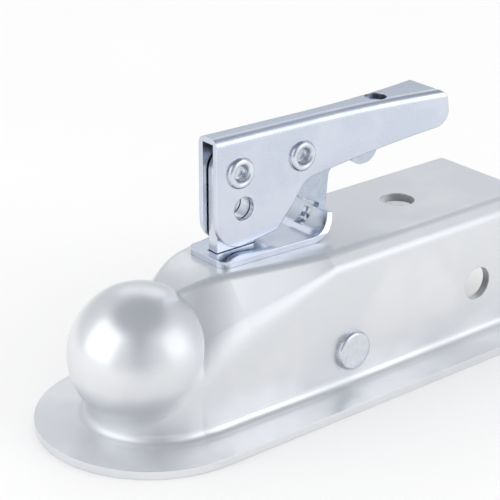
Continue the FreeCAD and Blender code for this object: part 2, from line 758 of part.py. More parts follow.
def make_lever():
    """Folded lever: two cheeks and a web, narrow over the blade and wider at the grip."""
    body = new_body("lever")
    front = latch_x - size("lever_front")
    end = latch_x + size("lever_reach")
    flare = latch_x + size("lever_flare")
    top = pivot_z + size("lever_top")
    cam_rear = latch_x + size("lever_cam_length")
    cam_low = pivot_z - size("lever_cam_rear")
    heel = (cam_rear + size("lever_heel_run"), cam_low + size("lever_heel_rise"))
    arch = (trigger_x + size("lever_rivet_diameter") / 4, trigger_z - size("lever_under"))
    narrow = size("lever_half_width")
    wide = size("lever_end_half_width")
    spare = wide
    outline = new_sketch(body, "XZ_Plane", "Cheek")
    toe = (front, pivot_z - size("lever_cam_front"))
    heel_foot = (cam_rear, cam_low)
    end_low = (end, pivot_z - size("lever_end_under"))
    end_top = (end - size("lever_end_drop"), top - size("lever_end_drop"))
    add_polygon(outline, [
        (front, top), toe, heel_foot, heel, arch, end_low, end_top,
    ])
    pad(body, outline, (wide + spare) * 2)
    round_edges(body, size("lever_cam_corner"), across_at(toe))
    round_edges(body, size("lever_cam_heel"), across_at(heel_foot, heel))
    round_edges(body, size("lever_arch_radius"), across_at(arch))
    round_edges(body, size("lever_end_radius"), across_at(end_low))
    reach = end - flare
    splay = wide - narrow
    bow = (reach * reach + splay * splay) / (splay * 2)
    past_end = end + spare
    past_reach = past_end - flare
    past_wide = narrow + bow - (bow * bow - past_reach * past_reach).root()
    plan = new_sketch(body, "XY_Plane", "Plan")
    for side in (-1, 1):
        add_polygon(plan, [
            (front - spare, narrow * side), (flare, narrow * side), (past_end, past_wide * side),
            (past_end, (wide + spare * 2) * side), (front - spare, (wide + spare * 2) * side),
        ], {1: ((flare, (narrow + bow) * side), bow)})
    pocket(body, plan, both_ways=False, reverse=True)

    def fold(edge):
        spot = middle(edge)
        along = edge.BoundBox.XLength > edge.BoundBox.ZLength * 2
        high = spot.z > (pivot_z + size("lever_top") / 2).value
        return along and high and abs(spot.y) > lever_inner.value

    round_edges(body, size("lever_fold_radius"), fold)
    web_under = top - size("lever_sheet")
    web_slope = size("lever_end_drop") / (end_top[0] - front)
    cheek_gap = new_sketch(body, "XZ_Plane", "CheekGap")
    add_polygon(cheek_gap, [
        (front - spare, web_under + web_slope * spare), (flare, web_under - web_slope * (flare - front)),
        (flare, plate_top), (front - spare, plate_top),
    ])
    pocket(body, cheek_gap, width=lever_inner * 2)
    inner = new_sketch(body, "XY_Plane", "Inside", web_under - size("lever_end_drop"))
    inner_bow = bow + size("lever_sheet")
    inner_wide = narrow + bow - (inner_bow * inner_bow - past_reach * past_reach).root()
    add_polygon(inner, [
        (front - spare, -lever_inner), (flare, -lever_inner), (past_end, -inner_wide),
        (past_end, inner_wide), (flare, lever_inner), (front - spare, lever_inner),
    ], {1: ((flare, -(narrow + bow)), inner_bow), 3: ((flare, narrow + bow), inner_bow)})
    pocket(body, inner, both_ways=False)
    holes = new_sketch(body, "XZ_Plane", "Holes")
    for place in ((latch_x, pivot_z), (trigger_x, trigger_z)):
        add_circle(holes, place, size("lever_rivet_diameter") / 2)
    add_circle(holes, (pin_x, pin_z), size("pin_hole_diameter") / 2)
    pocket(body, holes)
    before, after, centre = corner_arc((front, top), end_top, end_low, size("lever_end_crown"))
    crown = new_sketch(body, "XZ_Plane", "Crown")
    add_polygon(crown, [
        before, after, (past_end, after[1]), (past_end, top + spare), (before[0], top + spare),
    ], {0: (centre, size("lever_end_crown"))})
    pocket(body, crown)
    grip_hole = new_sketch(body, "XY_Plane", "GripHole")
    add_circle(grip_hole, (latch_x + size("lever_hole_place"), 0), size("lever_hole_diameter") / 2)
    pocket(body, grip_hole, both_ways=False, reverse=True)
    return body


def make_trigger():
    """Flat trigger: an arm with a finger tab under the grip, and a leg whose toe enters the lip's hole."""
    body = new_body("trigger")
    boss = size("trigger_boss")
    rear = latch_x + size("plate_flat_reach")
    leg_rear = trigger_x + size("trigger_leg_rear")
    leg_front = leg_rear - size("trigger_leg_width")
    toe_low = plate_top + size("lip_hole_lift") + size("side_clearance")
    toe_high = toe_low + size("trigger_toe_height")
    lip_back = rear + size("lip_radius") + size("plate_thickness")
    toe_tip = lip_back - size("trigger_toe_reach") * 2
    arm_end = trigger_x + size("trigger_arm_reach")
    tab_start = trigger_x + size("trigger_tab_start")
    tab_low = trigger_z - size("trigger_tab_drop")
    arm_low = trigger_z - size("trigger_arm_drop")
    heel = plate_top + size("lip_radius") - size("trigger_heel_drop")
    leg_top = (leg_rear, trigger_z - size("trigger_leg_drop"))
    crook = (tab_start - boss / 2, arm_low)
    outline = new_sketch(body, "XZ_Plane", "Outline")
    back_low = (leg_rear - size("trigger_leg_lean"), toe_low)
    corners = [(tab_start, tab_low), (arm_end, tab_low)]
    crest = trigger_z + size("trigger_boss_rise")
    nose = (trigger_x - boss, crest)
    add_polygon(outline, [
        nose, (trigger_x - boss, trigger_z - boss),
        (trigger_x + size("trigger_front_run"), trigger_z - size("trigger_front_drop")),
        (leg_front, heel), (leg_front, toe_high), (toe_tip, toe_high), (toe_tip, toe_low), back_low,
        leg_top, crook, (tab_start, arm_low), *corners, (arm_end, trigger_z - size("trigger_arm_dip")),
        (trigger_x + boss, crest),
    ])
    pad(body, outline, size("trigger_thickness"))
    round_edges(body, size("trigger_tab_radius"), across_at(*corners))
    round_edges(body, boss / 2, across_at(leg_top, nose))
    hole = new_sketch(body, "XZ_Plane", "Hole")
    add_circle(hole, (trigger_x, trigger_z), size("lever_rivet_diameter") / 2 + size("running_clearance"))
    pocket(body, hole)
    return body


def make_trigger_washer():
    """Spacer on the trigger's rivet, between the trigger and the near cheek."""
    body = new_body("trigger_washer")
    face = size("trigger_thickness") / 2 + size("side_clearance")
    sketch = new_sketch(body, "XZ_Plane", "Ring", face)
    add_circle(sketch, (trigger_x, trigger_z), size("trigger_washer_diameter") / 2)
    add_circle(sketch, (trigger_x, trigger_z), size("lever_rivet_diameter") / 2)
    pad(body, sketch, lever_inner - face, both_ways=False)
    return body


def make_trigger_spring():
    """Torsion spring round the trigger's rivet: one turn, an arm along the grip and an arm up to the web."""
    body = new_body("trigger_spring")
    wire = size("trigger_spring_wire")
    half = wire / 2
    radius = size("trigger_spring_radius")
    web = pivot_z + size("lever_top") - size("lever_sheet") - size("lever_end_drop")
    face = -(size("trigger_thickness") / 2 + size("side_clearance"))
    turn = new_sketch(body, "XZ_Plane", "Turn", face)
    add_circle(turn, (trigger_x, trigger_z), radius + half)
    add_circle(turn, (trigger_x, trigger_z), radius - half)
    reach = new_sketch(body, "XZ_Plane", "Reach", face)
    start = trigger_x + radius
    add_polygon(reach, rectangle(
        (start, trigger_z - half), (start + size("trigger_spring_arm"), trigger_z + half)))
    rise = new_sketch(body, "XZ_Plane", "Rise", face)
    add_polygon(rise, rectangle(
        (trigger_x - half, trigger_z + radius), (trigger_x + half, web - size("seat_clearance"))))
    for sketch in (turn, reach, rise):
        pad(body, sketch, wire, both_ways=False).Reversed = True
    return body


def make_clamp_spring():
    """Compression spring between the housing and the clamp."""
    wire = size("spring_wire") / 2
    seat = channel_ceiling - size("seat_thickness")
    low = size("clamp_top") + size("seat_clearance") + wire
    high = seat - size("seat_clearance") - wire
    path = doc.addObject("Part::Helix", "SpringPath")
    bind(path, "Radius", size("spring_diameter") / 2 - wire)
    bind(path, "Height", high - low)
    bind(path, "Pitch", (high - low) / size("spring_turns"))
    section = doc.addObject("Part::Circle", "SpringSection")
    bind(section, "Radius", wire)
    section.Placement = FreeCAD.Placement(FreeCAD.Vector(), FreeCAD.Rotation(FreeCAD.Vector(1, 0, 0), 90))
    bind(section, "Placement.Base.x", size("spring_diameter") / 2 - wire)
    doc.recompute()
    spring = doc.addObject("Part::Sweep", "clamp_spring")
    spring.Sections = [section]
    spring.Spine = (path, [f"Edge{number + 1}" for number in range(len(path.Shape.Edges))])
    spring.Solid = True
    spring.Frenet = True
    spring.Label = "clamp_spring"
    bind(spring, "Placement.Base.x", latch_x)
    bind(spring, "Placement.Base.z", low)
    return spring


def make_all():
    """Build every sub-part."""
    gap = size("running_clearance")
    shank = size("shank_diameter") / 2
    seat_bore = blade_half + size("slot_clearance") * 2
    return [
        make_housing(),
        make_pivot_rivet(),
        make_clamp(),
        make_clamp_spring(),
        make_ring("spring_seat", seat_bore + size("seat_rim"), seat_bore,
                  channel_ceiling - size("seat_thickness"), channel_ceiling),
        make_draw_bolt(),
        make_ring("nut_washer", size("washer_diameter") / 2, shank + gap, washer_bottom, washer_top),
        make_nut(),
        make_latch_plate(),
        make_lever(),
        make_rivet("lever_rivet", latch_x, pivot_z),
        make_rivet("trigger_rivet", trigger_x, trigger_z),
        make_trigger(),
        make_trigger_washer(),
        make_trigger_spring(),
    ]


def check(parts):
    """Stop if an object failed or a shape is not a sound solid."""
    for obj in doc.Objects:
        if "Invalid" in obj.State or "Error" in obj.State:
            raise RuntimeError(f"{obj.Label} failed: {obj.State}")
    for part in parts:
        if part.Shape.isNull() or not part.Shape.isValid() or not part.Shape.Solids:
            raise RuntimeError(f"{part.Label} has no sound solid")


def write(parts):
    """Write each sub-part to its own file."""
    os.makedirs("parts", exist_ok=True)
    for part in parts:
        part.Shape.exportStep(os.path.join("parts", f"{part.Label}.step"))
        box = part.Shape.optimalBoundingBox()
        lengths = f"{box.XLength:.1f} x {box.YLength:.1f} x {box.ZLength:.1f}"
        print(f"{part.Label}: {len(part.Shape.Solids)} solid, {part.Shape.Volume:.0f} mm3, {lengths} mm")


PARTS = make_all()
doc.recompute()
check(PARTS)
write(PARTS)
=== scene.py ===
"""Trailer coupling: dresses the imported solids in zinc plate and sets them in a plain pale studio."""

import logging
import math
from dataclasses import dataclass, field
from enum import Enum
from typing import Callable, Iterable, Sequence

import bpy
from mathutils import Matrix, Vector


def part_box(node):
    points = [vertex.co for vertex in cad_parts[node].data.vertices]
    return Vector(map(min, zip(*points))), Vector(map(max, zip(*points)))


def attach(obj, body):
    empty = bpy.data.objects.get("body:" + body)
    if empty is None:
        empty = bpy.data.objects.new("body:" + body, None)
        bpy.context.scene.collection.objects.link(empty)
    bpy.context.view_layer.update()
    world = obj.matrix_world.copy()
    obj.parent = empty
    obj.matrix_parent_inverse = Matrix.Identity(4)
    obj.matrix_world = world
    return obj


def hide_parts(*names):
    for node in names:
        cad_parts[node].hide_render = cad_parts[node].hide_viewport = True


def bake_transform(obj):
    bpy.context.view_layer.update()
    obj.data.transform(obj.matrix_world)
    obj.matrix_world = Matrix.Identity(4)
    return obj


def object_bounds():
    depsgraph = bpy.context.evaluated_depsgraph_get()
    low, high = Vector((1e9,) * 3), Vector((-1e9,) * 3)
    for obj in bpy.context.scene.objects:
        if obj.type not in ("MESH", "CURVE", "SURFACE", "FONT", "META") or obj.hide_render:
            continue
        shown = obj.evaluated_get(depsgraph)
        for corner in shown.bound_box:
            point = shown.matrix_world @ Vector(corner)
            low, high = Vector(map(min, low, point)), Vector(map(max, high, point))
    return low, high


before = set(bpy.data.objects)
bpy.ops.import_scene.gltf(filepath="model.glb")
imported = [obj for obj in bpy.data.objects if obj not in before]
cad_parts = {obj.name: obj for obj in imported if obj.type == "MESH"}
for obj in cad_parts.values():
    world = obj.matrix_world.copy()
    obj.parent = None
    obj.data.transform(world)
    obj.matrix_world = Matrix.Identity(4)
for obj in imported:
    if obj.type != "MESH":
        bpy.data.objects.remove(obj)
CAD_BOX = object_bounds()
MM = 0.001
HALF_FLAT = math.pi / 6  # half the angle that one side of a hexagon spans

log = logging.getLogger("coupling")

Colour = tuple[float, float, float, float]
Place = tuple[float, float]
Span = tuple[float, float]
Scale = tuple[float, float, float]


class Axis(Enum):
    """Direction that a turned piece is turned about."""

    ACROSS = (0.0, 1.0, 0.0)
    UP = (0.0, 0.0, 1.0)


class Body(Enum):
    """Moving bodies of the coupling."""

    HOUSING = "housing"
    CLAMP = "clamp"
    DRAW_BOLT = "draw_bolt"
    LEVER = "lever"
    TRIGGER = "trigger"


class Slot(Enum):
    """Material slots of the record."""

    HOUSING = "housing_zinc"
    LATCH = "latch_zinc"
    RIVET = "rivet_zinc"
    CLAMP = "clamp_zinc"
    BOLT = "bolt_zinc"
    TRIGGER = "trigger_zinc"
    SPRING = "spring_steel"


def add_node(tree: bpy.types.NodeTree, kind: str, **settings: object) -> bpy.types.Node:
    """Add one node to a tree.

    Args:
        tree: The material, world or group tree.
        kind: Blender's name of the node type.
        **settings: Properties to set on the node.

    Returns:
        The new node.
    """
    node = tree.nodes.new(kind)
    for name, value in settings.items():
        setattr(node, name, value)
    return node


def put(tree: bpy.types.NodeTree, node: bpy.types.Node, **values: object) -> bpy.types.Node:
    """Fill a node's inputs, each with a plain value or another node's output.

    Args:
        tree: The tree that holds the node.
        node: The node whose inputs are filled.
        **values: Inputs by name, with _ for a space, or by number as i0, i1 and so on.

    Returns:
        The same node.
    """
    for name, value in values.items():
        key = int(name[1:]) if name[0] == "i" and name[1:].isdigit() else name.replace("_", " ")
        if isinstance(value, bpy.types.NodeSocket):
            tree.links.new(value, node.inputs[key])
        else:
            node.inputs[key].default_value = value
    return node


def maths(tree: bpy.types.NodeTree, operation: str, *values: object) -> bpy.types.NodeSocket:
    """Add a sum.

    Args:
        tree: The tree that gets the node.
        operation: Blender's name of the sum.
        *values: Its inputs in order.

    Returns:
        The result.
    """
    node = add_node(tree, "ShaderNodeMath", operation=operation)
    return put(tree, node, **{f"i{number}": value for number, value in enumerate(values)}).outputs[0]


def spread(tree: bpy.types.NodeTree, value: bpy.types.NodeSocket, low: object, high: object,
           to_low: object = 0.0, to_high: object = 1.0) -> bpy.types.NodeSocket:
    """Map one range of values to another, and hold it there.

    Args:
        tree: The tree that gets the node.
        value: What is mapped.
        low: Start of the old range.
        high: End of the old range.
        to_low: Start of the new range.
        to_high: End of the new range.

    Returns:
        The mapped value.
    """
    node = add_node(tree, "ShaderNodeMapRange", interpolation_type="SMOOTHSTEP")
    put(tree, node, Value=value, From_Min=low, From_Max=high, To_Min=to_low, To_Max=to_high)
    return node.outputs["Result"]


def mixed(tree: bpy.types.NodeTree, share: object, first: object, second: object) -> bpy.types.NodeSocket:
    """Mix two colours.

    Args:
        tree: The tree that gets the node.
        share: How much of the second colour shows.
        first: Colour at 0.
        second: Colour at 1.

    Returns:
        The mixed colour.
    """
    node = add_node(tree, "ShaderNodeMix", data_type="RGBA")
    put(tree, node, i0=share, i6=first, i7=second)
    return node.outputs[2]


def noise(tree: bpy.types.NodeTree, **values: object) -> bpy.types.NodeSocket:
    """Add a noise with these inputs, and return its value."""
    return put(tree, add_node(tree, "ShaderNodeTexNoise"), **values).outputs[0]


def dot(tree: bpy.types.NodeTree, first: object, second: object) -> bpy.types.NodeSocket:
    """Add a dot product of two vectors, and return its value."""
    node = add_node(tree, "ShaderNodeVectorMath", operation="DOT_PRODUCT")
    return put(tree, node, i0=first, i1=second).outputs["Value"]


def effect(tree: bpy.types.NodeTree, group: bpy.types.NodeTree, **values: object) -> bpy.types.Node:
    """Place a shared effect in a material with these inputs, and return its node."""
    return put(tree, add_node(tree, "ShaderNodeGroup", node_tree=group), **values)


class Effects:
    """Surface effects that the finishes share, each a shader node group."""

    EVEN: Scale = (1.0, 1.0, 1.0)
    NOISE_MIDDLE: float = 0.5
    CLOUD_RANGE: Span = (0.36, 0.66)
    CRYSTALS_IN_CLOUD: float = 9.0
    FLECKED_RANGE: Span = (-0.1, 1.1)
    SHEET_DRAW: Scale = (0.25, 1.0, 1.0)
    WAVES_IN_GRAIN: float = 0.05
    MARK_RUNS: tuple[tuple[Scale, float], ...] = (((0.02, 1.0, 1.0), 12.0), ((0.025, 0.9, 1.2), -31.0))
    BREAKS_IN_MARK: float = 0.35
    BREAK_RANGE: Span = (0.5, 0.62)
    CORNER_SAMPLES: int = 6
    CORNER_RANGE: Span = (0.985, 0.8)

    def __init__(self) -> None:
        """Build every group once."""
        self.cloud = self._cloud()
        self.grain = self._grain()
        self.marks = self._marks()
        self.edges = self._edges()

    @staticmethod
    def _group(name: str, inputs: dict[str, str], outputs: dict[str, str]) -> tuple[
            bpy.types.NodeTree, bpy.types.Node, bpy.types.Node]:
        """Start a group with its sockets.

        Args:
            name: Name of the group.
            inputs: Kinds of its inputs by name.
            outputs: Kinds of its outputs by name.

        Returns:
            The group's tree, its input node and its output node.
        """
        tree = bpy.data.node_groups.new(name, "ShaderNodeTree")
        for label, kind in inputs.items():
            tree.interface.new_socket(name=label, in_out="INPUT", socket_type=f"NodeSocket{kind}")
        for label, kind in outputs.items():
            tree.interface.new_socket(name=label, in_out="OUTPUT", socket_type=f"NodeSocket{kind}")
        return tree, add_node(tree, "NodeGroupInput"), add_node(tree, "NodeGroupOutput")

    @staticmethod
    def _stretched(tree: bpy.types.NodeTree, scale: Scale, turn: float = 0.0) -> bpy.types.NodeSocket:
        """Object coordinates drawn out along an axis.

        Args:
            tree: The tree that gets the nodes.
            scale: Scale of each axis.
            turn: Turn about the crosswise axis, in degrees.

        Returns:
            The coordinates.
        """
        where = add_node(tree, "ShaderNodeTexCoord").outputs["Object"]
        mapping = add_node(tree, "ShaderNodeMapping")
        put(tree, mapping, Vector=where, Scale=scale, Rotation=(0.0, math.radians(turn), 0.0))
        return mapping.outputs[0]

    def _cloud(self) -> bpy.types.NodeTree:
        """Clouds and fine crystals of zinc plate.

        Returns:
            The group.
        """
        tree, given, result = self._group(
            "zinc_cloud", {"Tint": "Color", "Cloud Tint": "Color", "Scale": "Float", "Crystal": "Float"},
            {"Color": "Color", "Cloud": "Float"})
        where = add_node(tree, "ShaderNodeTexCoord").outputs["Object"]
        wide = noise(tree, Vector=where, Scale=given.outputs["Scale"], Detail=3.0, Roughness=0.55)
        small = maths(tree, "MULTIPLY", given.outputs["Scale"], self.CRYSTALS_IN_CLOUD)
        crystals = add_node(tree, "ShaderNodeTexVoronoi")
        put(tree, crystals, Vector=where, Scale=small, Randomness=1.0)
        split = put(tree, add_node(tree, "ShaderNodeSeparateColor"), Color=crystals.outputs["Color"])
        uneven = maths(tree, "SUBTRACT", split.outputs[0], self.NOISE_MIDDLE)
        flecks = maths(tree, "MULTIPLY", uneven, given.outputs["Crystal"])
        both = maths(tree, "ADD", spread(tree, wide, *self.CLOUD_RANGE), flecks)
        held = spread(tree, both, *self.FLECKED_RANGE)
        colour = mixed(tree, held, given.outputs["Tint"], given.outputs["Cloud Tint"])
        put(tree, result, Color=colour, Cloud=held)
        return tree

    def _grain(self) -> bpy.types.NodeTree:
        """Rolled sheet: fine grain, drawn out along the sheet, on a slightly wavy face.

        Returns:
            The group.
        """
        tree, given, result = self._group(
            "sheet_grain", {"Scale": "Float", "Waves": "Float"}, {"Height": "Float"})
        drawn = self._stretched(tree, self.SHEET_DRAW)
        fine = noise(tree, Vector=drawn, Scale=given.outputs["Scale"], Detail=4.0, Roughness=0.6)
        slow = maths(tree, "MULTIPLY", given.outputs["Scale"], self.WAVES_IN_GRAIN)
        waves = noise(tree, Vector=self._stretched(tree, self.EVEN), Scale=slow, Detail=1.0)
        height = maths(tree, "MULTIPLY_ADD", waves, given.outputs["Waves"], fine)
        put(tree, result, Height=height)
        return tree

    def _marks(self) -> bpy.types.NodeTree:
        """Thin handling marks, in two directions and broken into short runs.

        Returns:
            The group.
        """
        tree, given, result = self._group(
            "handling_marks", {"Scale": "Float", "Width": "Float"}, {"Mask": "Float"})
        runs = []
        for scale, turn in self.MARK_RUNS:
            drawn = self._stretched(tree, scale, turn)
            lines = noise(tree, Vector=drawn, Scale=given.outputs["Scale"], Detail=1.0, Roughness=0.4)
            away = maths(tree, "ABSOLUTE", maths(tree, "SUBTRACT", lines, self.NOISE_MIDDLE))
            runs.append(spread(tree, away, given.outputs["Width"], 0.0))
        coarse = maths(tree, "MULTIPLY", given.outputs["Scale"], self.BREAKS_IN_MARK)
        breaks = noise(tree, Vector=self._stretched(tree, self.EVEN), Scale=coarse, Detail=2.0)
        kept = spread(tree, breaks, *self.BREAK_RANGE)
        mask = maths(tree, "MULTIPLY", maths(tree, "MAXIMUM", *runs), kept)
        put(tree, result, Mask=mask)
        return tree

    def _edges(self) -> bpy.types.NodeTree:
        """Edges: a mask along corners for rubbed wear and a painted highlight, and normals that round them.

        Returns:
            The group.
        """
        tree, given, result = self._group(
            "edge_wear_and_painted_highlight", {"Radius": "Float"}, {"Mask": "Float", "Normal": "Vector"})
        bevel = add_node(tree, "ShaderNodeBevel", samples=self.CORNER_SAMPLES)
        rounded = put(tree, bevel, Radius=given.outputs["Radius"]).outputs[0]
        plain = add_node(tree, "ShaderNodeNewGeometry").outputs["Normal"]
        corner = spread(tree, dot(tree, rounded, plain), *self.CORNER_RANGE)
        put(tree, result, Mask=corner, Normal=rounded)
        return tree


@dataclass(frozen=True)
class ZincFinish:
    """Zinc plate on steel, as on one kind of piece. Its grain depth and edge radius are in millimetres."""

    slot: Slot
    tint: Colour
    cloud_tint: Colour
    # Lighter tint along corners: rubbed wear and a painted highlight.
    edge_wear_and_highlight_tint: Colour
    roughness: float
    swing: float = 0.06
    cloud_scale: float = 26.0
    crystal: float = 0.35
    grain_scale: float = 900.0
    grain_depth: float = 0.03
    waves: float = 1.2
    mark_scale: float = 160.0
    mark_width: float = 0.07
    mark_roughness: float = 0.015
    edge_radius: float = 0.5
    edge_wear_and_highlight_share: float = 0.75
    bump_strength: float = 0.5
    metallic: float = 1.0

    def material(self, effects: Effects) -> bpy.types.Material:
        """Make the finish.

        Args:
            effects: The shared surface effects.

        Returns:
            The new material.
        """
        made = bpy.data.materials.new(self.slot.value)
        made.use_nodes = True
        tree = made.node_tree
        cloud = effect(tree, effects.cloud, Tint=self.tint, Cloud_Tint=self.cloud_tint,
                       Scale=self.cloud_scale, Crystal=self.crystal)
        marks = effect(tree, effects.marks, Scale=self.mark_scale, Width=self.mark_width)
        edges = effect(tree, effects.edges, Radius=self.edge_radius * MM)
        grain = effect(tree, effects.grain, Scale=self.grain_scale, Waves=self.waves)
        # The corner mask lightens edges towards the edge tint: rubbed wear plus a painted highlight.
        worn_and_highlit_edges = maths(tree, "MULTIPLY", edges.outputs["Mask"], self.edge_wear_and_highlight_share)
        colour = mixed(tree, worn_and_highlit_edges, cloud.outputs["Color"], self.edge_wear_and_highlight_tint)
        smoothest, roughest = self.roughness - self.swing, self.roughness + self.swing
        gloss = spread(tree, cloud.outputs["Cloud"], 0.0, 1.0, smoothest, roughest)
        scuffed = maths(tree, "MULTIPLY_ADD", marks.outputs["Mask"], self.mark_roughness, gloss)
        bump = add_node(tree, "ShaderNodeBump")
        put(tree, bump, Strength=self.bump_strength, Distance=self.grain_depth * MM,
            Height=grain.outputs["Height"], Normal=edges.outputs["Normal"])
        put(tree, tree.nodes["Principled BSDF"], Base_Color=colour, Metallic=self.metallic,
            Roughness=scuffed, Normal=bump.outputs[0])
        return made


# Third colour of each finish is the lighter corner tint: rubbed wear and a painted highlight.
FINISHES: tuple[ZincFinish, ...] = (
    ZincFinish(Slot.HOUSING, (0.80, 0.81, 0.83, 1.0), (0.74, 0.755, 0.78, 1.0), (0.90, 0.91, 0.92, 1.0),
               roughness=0.34, cloud_scale=18.0, crystal=0.12, metallic=0.7),
    ZincFinish(Slot.LATCH, (0.66, 0.70, 0.79, 1.0), (0.60, 0.645, 0.74, 1.0), (0.93, 0.95, 0.97, 1.0),
               roughness=0.22, cloud_scale=34.0, crystal=0.2, grain_depth=0.014, edge_radius=0.6),
    ZincFinish(Slot.RIVET, (0.76, 0.79, 0.84, 1.0), (0.66, 0.70, 0.76, 1.0), (0.92, 0.94, 0.96, 1.0),
               roughness=0.26, cloud_scale=60.0, edge_radius=0.3),
    ZincFinish(Slot.CLAMP, (0.68, 0.71, 0.76, 1.0), (0.58, 0.61, 0.67, 1.0), (0.88, 0.90, 0.93, 1.0),
               roughness=0.38, cloud_scale=30.0),
    ZincFinish(Slot.BOLT, (0.69, 0.73, 0.79, 1.0), (0.60, 0.64, 0.71, 1.0), (0.90, 0.92, 0.95, 1.0),
               roughness=0.27, cloud_scale=48.0, edge_radius=0.35),
    ZincFinish(Slot.TRIGGER, (0.58, 0.64, 0.72, 1.0), (0.48, 0.54, 0.63, 1.0), (0.88, 0.91, 0.95, 1.0),
               roughness=0.22, cloud_scale=52.0, grain_depth=0.014, edge_radius=0.4),
    ZincFinish(Slot.SPRING, (0.60, 0.63, 0.68, 1.0), (0.48, 0.51, 0.57, 1.0), (0.84, 0.86, 0.89, 1.0),
               roughness=0.30, cloud_scale=70.0, grain_depth=0.015, edge_radius=0.2),
)


@dataclass
class Workshop:
    """Holds the finishes, and puts them on pieces."""

    materials: dict[Slot, bpy.types.Material] = field(default_factory=dict)

    def prepare(self) -> None:
        """Make every finish."""
        effects = Effects()
        for finish in FINISHES:
            self.materials[finish.slot] = finish.material(effects)

    def dress_node(self, node: str, slot: Slot) -> None:
        """Give a solid of the frame its finish.

        Args:
            node: Name of the solid.
            slot: The finish.
        """
        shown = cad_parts[node]
        if not shown.material_slots:
            shown.data.materials.append(None)
        for place in shown.material_slots:
            place.material = self.materials[slot]
        log.info("%s: %s", node, slot.value)

    def dress_piece(self, piece: bpy.types.Object, slot: Slot, body: Body | None = None) -> bpy.types.Object:
        """Give a new piece its finish, and let it ride on its body.

        Args:
            piece: The piece.
            slot: The finish.
            body: The body it rides on, or None where it rides on none.

        Returns:
            The same piece.
        """
        piece.data.materials.append(self.materials[slot])
        if body is not None:
            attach(piece, body.value)
        log.info("%s: %s, %d faces", piece.name, slot.value, len(piece.data.polygons))
        return piece


def new_piece(name: str, points: Iterable[Vector], faces: Sequence[Sequence[int]],
              sharp: float = 38.0) -> bpy.types.Object:
    """Make a mesh piece with smooth faces and sharp corners.

    Args:
        name: Name of the piece.
        points: Its points, in metres.
        faces: Point numbers of each face.
        sharp: Angle in degrees from which an edge stays sharp.

    Returns:
        The new piece.
    """
    mesh = bpy.data.meshes.new(name)
    mesh.from_pydata([tuple(point) for point in points], [], faces)
    mesh.validate()
    mesh.update()
    mesh.shade_smooth()
    mesh.set_sharp_from_angle(angle=math.radians(sharp))
    piece = bpy.data.objects.new(name, mesh)
    bpy.context.scene.collection.objects.link(piece)
    return piece


def tube_faces(rows: int, around: int) -> list[tuple[int, ...]]:
    """Faces between rings of points, with a cap on each end.

    Args:
        rows: How many rings there are.
        around: Points in each ring.

    Returns:
        Point numbers of each face.
    """
    faces = []
    for row in range(rows - 1):
        here, there = row * around, (row + 1) * around
        for step in range(around):
            after = (step + 1) % around
            faces.append((here + step, here + after, there + after, there + step))
    faces.append(tuple(reversed(range(around))))
    faces.append(tuple(range((rows - 1) * around, rows * around)))
    return faces


def turned(name: str, profile: Sequence[Place], centre: Vector, axis: Axis, around: int = 56,
           reach: Callable[[float, float, float], float] | None = None) -> bpy.types.Object:
    """Turn a profile about an axis.

    Args:
        name: Name of the piece.
        profile: Radius and place along the axis of each ring, in millimetres, from end to end.
        centre: Where the axis passes, in metres.
        axis: Direction of the axis.
        around: Points in each ring.
        reach: Gives the radius from radius, place and angle, where the piece isn't round.

    Returns:
        The new piece.
    """
    along = Vector(axis.value)
    across = Vector((1.0, 0.0, 0.0))
    third = along.cross(across)
    points = []
    for radius, place in profile:
        for step in range(around):
            angle = math.tau * step / around
            size = reach(radius, place, angle) if reach else radius
            outward = across * math.cos(angle) + third * math.sin(angle)
            points.append(centre + (along * place + outward * size) * MM)
    return new_piece(name, points, tube_faces(len(profile), around))


def wire(name: str, path: Sequence[Vector], radius: float, around: int = 12) -> bpy.types.Object:
    """Draw a round wire along a path.

    Args:
        name: Name of the piece.
        path: Points of its middle line, in metres.
        radius: Half its thickness, in metres.
        around: Points in each ring.

    Returns:
        The new piece.
    """
    points = []
    ahead = (path[1] - path[0]).normalized()
    side = ahead.orthogonal().normalized()
    for number, place in enumerate(path):
        before, after = path[max(number - 1, 0)], path[min(number + 1, len(path) - 1)]
        ahead = (after - before).normalized()
        side = (side - ahead * side.dot(ahead)).normalized()
        other = ahead.cross(side)
        for step in range(around):
            angle = math.tau * step / around
            points.append(place + (side * math.cos(angle) + other * math.sin(angle)) * radius)
    return new_piece(name, points, tube_faces(len(path), around))


def middle_of(node: str) -> Vector:
    """Middle of a solid's box."""
    low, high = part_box(node)
    return (low + high) / 2


def rounded_corner(outer: float, place: float, radius: float, sign: float, steps: int = 6) -> list[Place]:
    """Profile points of a rounded corner, from the face to the side.

    Args:
        outer: Radius of the side.
        place: Place of the face along the axis.
        radius: Radius of the rounding.
        sign: 1 where the face looks along the axis, and -1 where it looks back.
        steps: How many points, less one.

    Returns:
        Radius and place of each point.
    """
    points = []
    for step in range(steps + 1):
        angle = math.pi / 2 * step / steps
        out, drop = radius * math.sin(angle), radius - radius * math.cos(angle)
        points.append((outer - radius + out, place - sign * drop))
    return points


@dataclass
class Housing:
    """Pressed housing with the rivet that carries the clamp, in millimetres."""

    head_radius: float = 8.25
    head_height: float = 2.8
    head_round: float = 1.6
    cap_radius: float = 0.2
    shank_radius: float = 5.0

    def build(self, workshop: Workshop) -> None:
        """Turn the cross rivet with softly rounded heads.

        Args:
            workshop: Puts finishes on pieces.
        """
        low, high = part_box("pivot_rivet")
        tip = (high.y - low.y) / 2 / MM
        wall = tip - self.head_height
        near = [(self.cap_radius, -tip), *rounded_corner(self.head_radius, -tip, self.head_round, -1.0),
                (self.head_radius, -wall), (self.shank_radius, -wall)]
        far = [(radius, -place) for radius, place in reversed(near)]
        rivet = turned("pivot_rivet_turned", near + far, middle_of("pivot_rivet"), Axis.ACROSS)
        workshop.dress_piece(rivet, Slot.RIVET, Body.HOUSING)
        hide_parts("pivot_rivet")

    def dress(self, workshop: Workshop) -> None:
        """Put the finishes on the housing's own solids."""
        workshop.dress_node("coupler_housing", Slot.HOUSING)
        workshop.dress_node("spring_seat", Slot.CLAMP)


